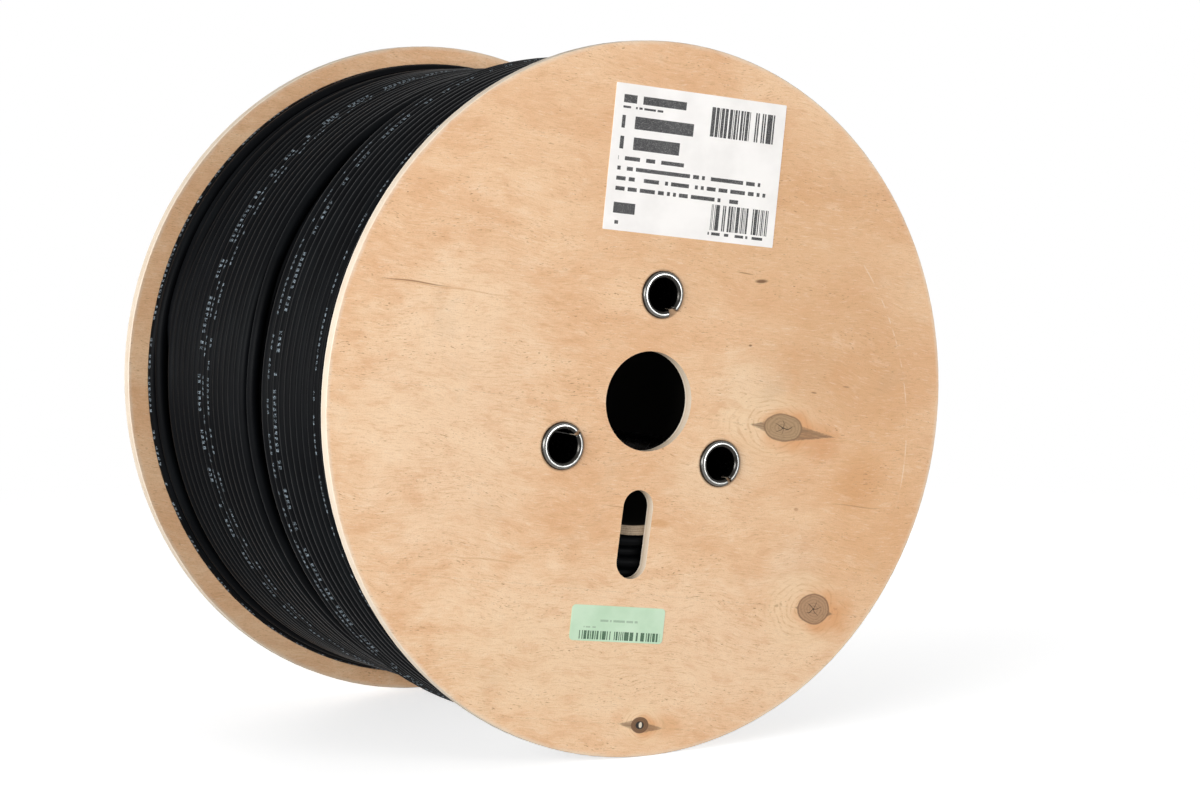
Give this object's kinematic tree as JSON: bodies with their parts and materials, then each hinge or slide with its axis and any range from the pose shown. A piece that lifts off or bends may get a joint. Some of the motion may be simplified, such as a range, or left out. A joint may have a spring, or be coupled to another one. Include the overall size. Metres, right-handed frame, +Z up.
{
  "type": "wooden cable drum",
  "caption": "Round plywood-flanged drum with a central bore and rolled steel tie tubes, wound full of black coaxial cable.",
  "frame": {"origin": "centre of the drum, on its axis halfway between the two flanges", "axes": "+Y along the drum's axis from the labelled flange to the plain one, +Z up, +X to the right seen from the labelled side"},
  "size_m": [0.3999, 0.2742, 0.4],
  "materials": {
    "plywood": "sanded",
    "wound_board": "matte",
    "zinc_steel": "satin",
    "cable_sheath": "satin",
    "white_paper": "matte",
    "green_paper": "matte"
  },
  "bodies": {
    "root": {"front_flange": "plywood", "rear_flange": "plywood", "barrel": "wound_board", "tie_tube_1": "zinc_steel", "tie_tube_2": "zinc_steel", "tie_tube_3": "zinc_steel", "cable_winding": "cable_sheath", "shipping_label": "white_paper", "stock_label": "green_paper"}
  },
  "joints": []
}
